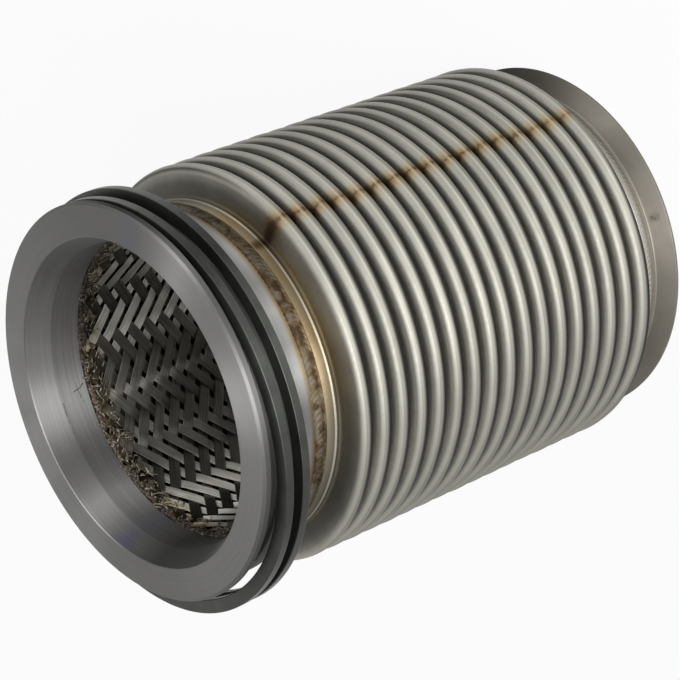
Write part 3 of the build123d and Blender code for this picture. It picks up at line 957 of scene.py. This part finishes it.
frayedEnds = {
    "piece": "frayedEnds", "count": 900, "steps": 7, "start": (148.4, 153.8), "radius": (44.8, 46.0),
    "length": (1.6, 5.0), "bend": 0.9, "lift": 0.5, "halfWidth": (0.12, 0.42), "taper": 0.6,
    "highest": 155.4, "widest": 46.25, "strayHalfWidth": 0.13,
    "stray": [((75.5, 155.5), (78.0, 159.6)), ((82.0, 157.0), (75.0, 158.0)), ((80.0, 164.0), (93.0, 163.9))],
    "tones": linerWelds["tones"], "roughness": (0.5, 0.4), "bump": (0.8, 0.3),
    "flecks": [(0.32, (0.03, 0.027, 0.022)), (0.42, (0.10, 0.088, 0.07)), (0.49, (0.20, 0.15, 0.11)),
               (0.53, (0.23, 0.215, 0.18)), (0.66, (0.46, 0.44, 0.38))],
}


def between(span, share):
    return span[0] + (span[1] - span[0]) * share


def makeFrayedEnds(size, material):
    # A wire starts at (a, z) and heads off at angle h: a + L u cos(h + b u) / r, z + L u sin(h + b u), with r
    # lifted off the wall by a half sine; u runs 0 to 1. The section is a flat diamond that tapers to the end.
    # A stray hair runs from one (degrees, height) to another, with its angle swayed by 0.4 sin 5u.
    count, u = size["count"], np.linspace(0, 1, size["steps"])[None, :]
    draw = [randomDraw.uniform(0, 1, (count, 1)) for _ in range(7)]
    angle, height = 2 * np.pi * draw[0], between(size["start"], draw[1])
    radius, length = between(size["radius"], draw[2]), between(size["length"], draw[3] ** 1.5)
    turn = 2 * np.pi * draw[4] + size["bend"] * (2 * draw[5] - 1) * u
    width = between(size["halfWidth"], draw[6] ** 2)
    angle = angle + length * u * np.cos(turn) / radius
    height = np.minimum(height + length * u * np.sin(turn), size["highest"] + 0.2 * u)
    radius = np.minimum(radius - size["lift"] * np.sin(np.pi * u) + 0 * angle, size["widest"])
    stray = np.array(size["stray"])[..., None]
    strayAngle = np.radians(between((stray[:, 0, 0], stray[:, 1, 0]), u) + 0.4 * np.sin(5 * u))
    strayHeight = between((stray[:, 0, 1], stray[:, 1, 1]), u)
    angle, height = np.concatenate([angle, strayAngle]), np.concatenate([height, strayHeight])
    radius = np.concatenate([radius, np.full(strayAngle.shape, size["widest"])])
    width = np.concatenate([width, np.full((len(stray), 1), size["strayHalfWidth"])])
    path = aroundAxis(radius, angle, height)
    thin = width * (1 - size["taper"] * u)
    section = np.array([(-1, 0), (0, -0.6), (1, 0), (0, 0.6)])
    points = carrySection(path, *wireAxes(path, angle), section, thin, thin)
    return place(putStrands(size["piece"], points), "liner_weld_front", material)


makeFrayedEnds(frayedEnds, makeScorched("frayedWire", frayedEnds))
print("frayed ends made")


# Floor, world, lamps and camera

studio = {
    "floorSize": 6.0, "floorColour": (0.9, 0.9, 0.9, 1), "floorWhite": 0.92, "ambient": 0.15,
    "lamps": {
        "keyLamp": {"azimuth": -109.0, "elevation": 36.0, "distance": 1.6, "size": 1.0, "radiance": 8.8},
        "sideLamp": {"azimuth": -22.0, "elevation": 42.0, "distance": 1.6, "size": 0.5, "radiance": 9.0},
    },
    "target": (0.0, 0.0, 0.09),
}

view = {
    "place": (-0.005418, -0.64284, 0.57387), "tilt": 53.18, "roll": -111.97, "lens": 140.06, "sensor": 36.0,
}


def seenRays(tree):
    # 1 for rays that come from the camera, a reflection or through glass
    path = addNode(tree, "ShaderNodeLightPath").outputs
    seen = calc(tree, "ADD", path["Is Camera Ray"], path["Is Glossy Ray"])
    return calc(tree, "MINIMUM", calc(tree, "ADD", seen, path["Is Transmission Ray"]), 1.0)


def makeFloor(size):
    half = size["floorSize"] / 2
    corners = np.array([(-half, -half, 0), (half, -half, 0), (half, half, 0), (-half, half, 0)])
    floor = putMesh("floor", corners, np.array([(0, 1, 2, 3)]))
    material, tree, _ = newMaterial("floorPaper", Roughness=1.0, Base_Color=size["floorColour"])
    white = addNode(tree, "ShaderNodeEmission", Strength=1.0)
    mix = addNode(tree, "ShaderNodeMixShader", i0=times(tree, seenRays(tree), size["floorWhite"]))
    tree.links.new(tree.nodes["Principled BSDF"].outputs[0], mix.inputs[1])
    tree.links.new(white.outputs[0], mix.inputs[2])
    tree.links.new(mix.outputs[0], tree.nodes["Material Output"].inputs["Surface"])
    floor.data.materials.append(material)


def makeWorld(size):
    # Full white for seen rays, a weak ambient light for the rest
    world = bpy.data.worlds.new("studioWorld")
    bpy.context.scene.world = world
    world.use_nodes = True
    tree = world.node_tree
    background = tree.nodes["Background"].inputs
    background[0].default_value = (1, 1, 1, 1)
    tree.links.new(scaleAdd(tree, seenRays(tree), 1.0 - size["ambient"], size["ambient"]), background[1])


def makeLamp(name, lamp, target):
    # A disc of diameter d gives radiance L at a power of L * pi * (pi d^2 / 4)
    data = bpy.data.lights.new(name, "AREA")
    data.shape, data.size = "DISK", lamp["size"]
    data.energy = lamp["radiance"] * math.pi ** 2 * lamp["size"] ** 2 / 4
    piece = addObject(name, data)
    azimuth, elevation = math.radians(lamp["azimuth"]), math.radians(lamp["elevation"])
    away = Vector((math.cos(azimuth) * math.cos(elevation), math.sin(azimuth) * math.cos(elevation),
                   math.sin(elevation)))
    piece.location = Vector(target) + away * lamp["distance"]
    piece.rotation_euler = (-away).to_track_quat("-Z", "Y").to_euler()


def makeCamera(size):
    data = bpy.data.cameras.new("photoView")
    data.lens, data.sensor_width = size["lens"], size["sensor"]
    data.clip_start, data.clip_end = 0.01, 20.0
    piece = addObject("photoView", data)
    turn = Matrix.Rotation(math.radians(size["tilt"]), 4, "X")
    turn = turn @ Matrix.Rotation(math.radians(size["roll"]), 4, "Z")
    piece.matrix_world = Matrix.Translation(size["place"]) @ turn
    bpy.context.scene.camera = piece


makeFloor(studio)
makeWorld(studio)
for lampName, lamp in studio["lamps"].items():
    makeLamp(lampName, lamp, studio["target"])
makeCamera(view)
bpy.context.scene.view_settings.view_transform = "Standard"
print("floor, lamps and camera made")
